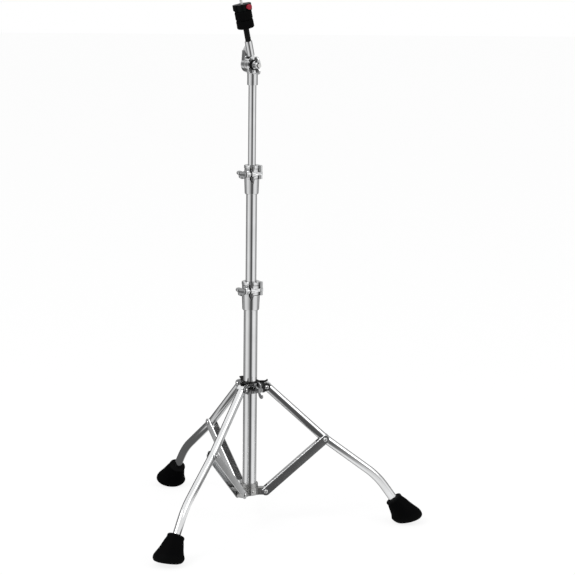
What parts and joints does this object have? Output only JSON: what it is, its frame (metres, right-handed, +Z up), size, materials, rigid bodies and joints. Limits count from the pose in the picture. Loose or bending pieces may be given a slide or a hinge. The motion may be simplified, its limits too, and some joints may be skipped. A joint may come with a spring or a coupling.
{
  "type": "straight cymbal stand",
  "caption": "Straight chrome cymbal stand: folding braced tripod, telescoping tubes with hinged clamps, tilter, felts and quick-release nut.",
  "frame": {"origin": "on the floor under the column's axis", "axes": "+Z up along the column, +X along leg 1, +Y completes a right-handed frame"},
  "size_m": [0.5632, 0.6406, 1.1028],
  "materials": {
    "chrome_tube": "polished",
    "chrome_sheet": "polished",
    "cast_chrome": "polished over a cast skin",
    "dark_chrome": "polished",
    "rivet_steel": "satin",
    "zinc_screw": "satin",
    "rod_steel": "threaded",
    "black_nylon": "satin",
    "black_rubber": "matte",
    "black_felt": "felt",
    "nut_plastic": "gloss",
    "red_plastic": "gloss"
  },
  "bodies": {
    "stand_base": {"base_tube": "chrome_tube", "bottom_bracket": "cast_chrome", "bracket_screw": "zinc_screw", "bracket_rivets": "rivet_steel", "lower_joint_body": "cast_chrome", "lower_hinge_pin": "rivet_steel"},
    "brace_1": {"brace_1": "chrome_sheet", "knee_rivet_1": "rivet_steel"},
    "brace_2": {"brace_2": "chrome_sheet", "knee_rivet_2": "rivet_steel"},
    "brace_3": {"brace_3": "chrome_sheet", "knee_rivet_3": "rivet_steel"},
    "leg_1": {"leg_1": "chrome_tube", "foot_1": "black_rubber"},
    "leg_2": {"leg_2": "chrome_tube", "foot_2": "black_rubber"},
    "leg_3": {"leg_3": "chrome_tube", "foot_3": "black_rubber"},
    "collar": {"leg_collar": "cast_chrome", "collar_bushing": "black_nylon", "collar_rivets": "rivet_steel"},
    "collar_wing": {"collar_wing_bolt": "cast_chrome"},
    "lower_jaw": {"lower_joint_jaw": "cast_chrome"},
    "lower_wing": {"lower_wing_bolt": "dark_chrome"},
    "lower_liner": {"lower_joint_liner": "black_nylon"},
    "middle_stage": {"middle_tube": "chrome_tube", "upper_joint_body": "cast_chrome", "upper_hinge_pin": "rivet_steel"},
    "upper_jaw": {"upper_joint_jaw": "cast_chrome"},
    "upper_wing": {"upper_wing_bolt": "dark_chrome"},
    "upper_liner": {"upper_joint_liner": "black_nylon"},
    "top_stage": {"top_tube": "chrome_tube", "tilter_base": "cast_chrome", "tilter_bolt": "rivet_steel", "tilter_washer": "black_nylon"},
    "tilter_wing": {"tilter_wing_nut": "cast_chrome"},
    "arm": {"tilter_arm": "cast_chrome", "cymbal_rod": "rod_steel", "cymbal_seat": "black_nylon", "cymbal_sleeve": "black_nylon"},
    "lower_felt": {"lower_felt": "black_felt"},
    "upper_felt": {"upper_felt": "black_felt"},
    "nut": {"quick_release_nut": "nut_plastic"},
    "button": {"release_button": "red_plastic"}
  },
  "joints": [
    {"name": "brace_1_fold", "type": "hinge", "parent": "stand_base", "child": "brace_1", "pos_m": [0.0345, 0, 0.06942], "axis": [0, -1, 0], "range_deg": [0, 45.6]},
    {"name": "leg_1_knee", "type": "hinge", "parent": "brace_1", "child": "leg_1", "pos_m": [0.15708, 0, 0.18135], "axis": [0, -1, 0], "range_deg": [-91.2, 0]},
    {"name": "brace_2_fold", "type": "hinge", "parent": "stand_base", "child": "brace_2", "pos_m": [-0.01725, 0.02988, 0.06942], "axis": [0.866, 0.5, 0], "range_deg": [0, 45.6]},
    {"name": "leg_2_knee", "type": "hinge", "parent": "brace_2", "child": "leg_2", "pos_m": [-0.07854, 0.13604, 0.18135], "axis": [0.866, 0.5, 0], "range_deg": [-91.2, 0]},
    {"name": "brace_3_fold", "type": "hinge", "parent": "stand_base", "child": "brace_3", "pos_m": [-0.01725, -0.02988, 0.06942], "axis": [-0.866, 0.5, 0], "range_deg": [0, 45.6]},
    {"name": "leg_3_knee", "type": "hinge", "parent": "brace_3", "child": "leg_3", "pos_m": [-0.07854, -0.13604, 0.18135], "axis": [-0.866, 0.5, 0], "range_deg": [-91.2, 0]},
    {"name": "collar_hinge", "type": "hinge", "parent": "leg_1", "child": "collar", "pos_m": [0.0345, 0, 0.29328], "axis": [0, -1, 0], "range_deg": [0, 45.6]},
    {"name": "collar_wing_turn", "type": "hinge", "parent": "collar", "child": "collar_wing", "pos_m": [0.015, -0.02598, 0.29228], "axis": [0.5, -0.866, 0], "continuous": true},
    {"name": "lower_jaw_open", "type": "hinge", "parent": "stand_base", "child": "lower_jaw", "pos_m": [0.02071, -0.00539, 0.49817], "axis": [0, 0, 1], "range_deg": [0, 1.5]},
    {"name": "lower_wing_turn", "type": "hinge", "parent": "stand_base", "child": "lower_wing", "pos_m": [-0.00093, -0.02048, 0.49817], "axis": [-0.9542, -0.299, 0], "continuous": true},
    {"name": "lower_tube_turn", "type": "hinge", "parent": "stand_base", "child": "lower_liner", "pos_m": [0, 0, 0.49817], "axis": [0, 0, 1], "continuous": true},
    {"name": "middle_tube_slide", "type": "slide", "parent": "lower_liner", "child": "middle_stage", "axis": [0, 0, 1], "range_m": [-0.176, 0.12]},
    {"name": "upper_jaw_open", "type": "hinge", "parent": "middle_stage", "child": "upper_jaw", "pos_m": [0.01761, -0.00459, 0.73917], "axis": [0, 0, 1], "range_deg": [0, 1.5]},
    {"name": "upper_wing_turn", "type": "hinge", "parent": "middle_stage", "child": "upper_wing", "pos_m": [-0.00078, -0.01728, 0.73917], "axis": [-0.9542, -0.299, 0], "continuous": true},
    {"name": "upper_tube_turn", "type": "hinge", "parent": "middle_stage", "child": "upper_liner", "pos_m": [0, 0, 0.73917], "axis": [0, 0, 1], "continuous": true},
    {"name": "top_tube_slide", "type": "slide", "parent": "upper_liner", "child": "top_stage", "axis": [0, 0, 1], "range_m": [-0.16, 0.12]},
    {"name": "arm_tilt", "type": "hinge", "parent": "top_stage", "child": "arm", "pos_m": [0, 0, 0.96002], "axis": [0.5505, -0.8348, 0], "range_deg": [-92, 76]},
    {"name": "tilter_wing_turn", "type": "hinge", "parent": "top_stage", "child": "tilter_wing", "pos_m": [0, 0, 0.96002], "axis": [0.5505, -0.8348, 0], "continuous": true},
    {"name": "lower_felt_lift", "type": "slide", "parent": "arm", "child": "lower_felt", "axis": [-0.1864, -0.1229, 0.9748], "range_m": [0, 0.02]},
    {"name": "upper_felt_lift", "type": "slide", "parent": "lower_felt", "child": "upper_felt", "axis": [-0.1864, -0.1229, 0.9748], "range_m": [0, 0.02]},
    {"name": "nut_lift", "type": "slide", "parent": "upper_felt", "child": "nut", "axis": [-0.1864, -0.1229, 0.9748], "range_m": [0, 0.036]},
    {"name": "button_press", "type": "slide", "parent": "nut", "child": "button", "axis": [-0.4924, 0.8702, 0.0156], "range_m": [0, 0.002], "stiffness_N_per_m": 400}
  ],
  "couplings": [
    {"joint": "leg_1_knee", "follows": "brace_1_fold", "ratio": -2},
    {"joint": "brace_2_fold", "follows": "brace_1_fold", "ratio": 1},
    {"joint": "leg_2_knee", "follows": "brace_1_fold", "ratio": -2},
    {"joint": "brace_3_fold", "follows": "brace_1_fold", "ratio": 1},
    {"joint": "leg_3_knee", "follows": "brace_1_fold", "ratio": -2},
    {"joint": "collar_hinge", "follows": "brace_1_fold", "ratio": 1}
  ]
}
